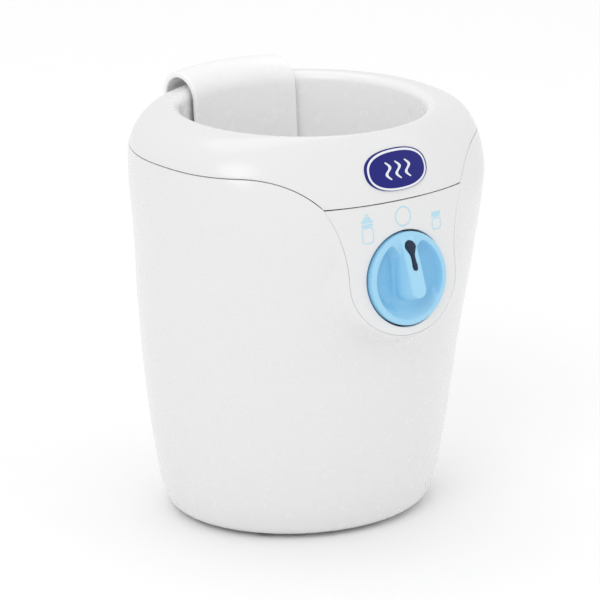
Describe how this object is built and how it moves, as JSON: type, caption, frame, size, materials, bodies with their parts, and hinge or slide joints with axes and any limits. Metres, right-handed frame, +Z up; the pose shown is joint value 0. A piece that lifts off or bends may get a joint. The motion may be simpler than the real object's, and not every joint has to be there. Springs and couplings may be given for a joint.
{
  "type": "bottle warmer",
  "caption": "Tapered oval electric bottle warmer with a round warming chamber, a rotary thermostat knob on a leaning front panel and a lift-out tray.",
  "frame": {"origin": "in the plane that the feet stand on, at the middle of the overall width and depth; the chamber's axis stands 4.7 mm behind it", "axes": "+Z up, parallel to the chamber's axis; -Y out of the front panel; +X to the user's right"},
  "size_m": [0.1292, 0.1286, 0.1552],
  "materials": {
    "white_shell": "smooth satin gloss",
    "white_panel": "smooth satin gloss",
    "white_base": "fine matt grain",
    "white_lifter": "smooth satin gloss",
    "badge_navy": "printed, glossy",
    "knob_blue": "satin",
    "lens_dark": "clear gloss over dark",
    "phenolic": "moulded, matt",
    "terminal_nylon": "moulded, matt",
    "steel": "zinc plated",
    "steel_sheet": "pressed sheet",
    "sheath_steel": "drawn, heat tinted",
    "brass": "turned",
    "copper": "drawn, slightly dull",
    "cast_aluminium": "cast, top face turned",
    "silicone": "soft, matt",
    "foot_rubber": "soft, matt",
    "fuse_ceramic": "glazed",
    "lamp_glass": "clear amber",
    "lead_brown": "extruded insulation",
    "lead_blue": "extruded insulation"
  },
  "bodies": {
    "housing": {"outer_shell": "white_shell", "chamber_collar": "white_shell", "chamber_cup": "white_shell", "control_panel": "white_panel", "badge": "badge_navy", "thermostat_body": "phenolic", "thermostat_bushing": "brass", "thermostat_terminals": "brass", "thermostat_screws": "steel", "pilot_lamp": "lamp_glass", "heating_plate": "cast_aluminium", "plate_seal": "silicone", "clamp_ring": "steel_sheet", "clamp_screws": "steel", "heating_element": "sheath_steel", "element_pins": "brass", "sensor_bulb": "copper", "bulb_clip": "steel_sheet", "thermal_fuse": "fuse_ceramic", "fuse_clip": "steel_sheet", "base_plate": "white_base", "base_screws": "steel", "front_left_foot": "foot_rubber", "rear_left_foot": "foot_rubber", "front_right_foot": "foot_rubber", "rear_right_foot": "foot_rubber", "cord_clamp": "phenolic", "cord_clamp_screws": "steel", "cord_grommet": "foot_rubber", "terminal_block": "terminal_nylon", "terminal_screws": "steel", "heat_shield": "steel_sheet", "shield_screws": "steel", "collar_screws": "steel", "supply_lead": "lead_brown", "switched_lead": "lead_brown", "fuse_lead": "lead_blue", "neutral_lead": "lead_blue", "capillary_tube": "copper"},
    "knob": {"control_knob": "knob_blue", "knob_lens": "lens_dark", "knob_spindle": "steel"},
    "lifter": {"lifter_strap": "white_lifter", "lifter_tray": "white_lifter"}
  },
  "joints": [
    {"name": "knob_turn", "type": "hinge", "parent": "housing", "child": "knob", "pos_m": [0, -0.0562, 0.0994], "axis": [0, -0.9903, 0.1392], "range_deg": [-40, 40]},
    {"name": "lifter_lift", "type": "slide", "parent": "housing", "child": "lifter", "axis": [0, 0, 1], "range_m": [0, 0.12]}
  ]
}
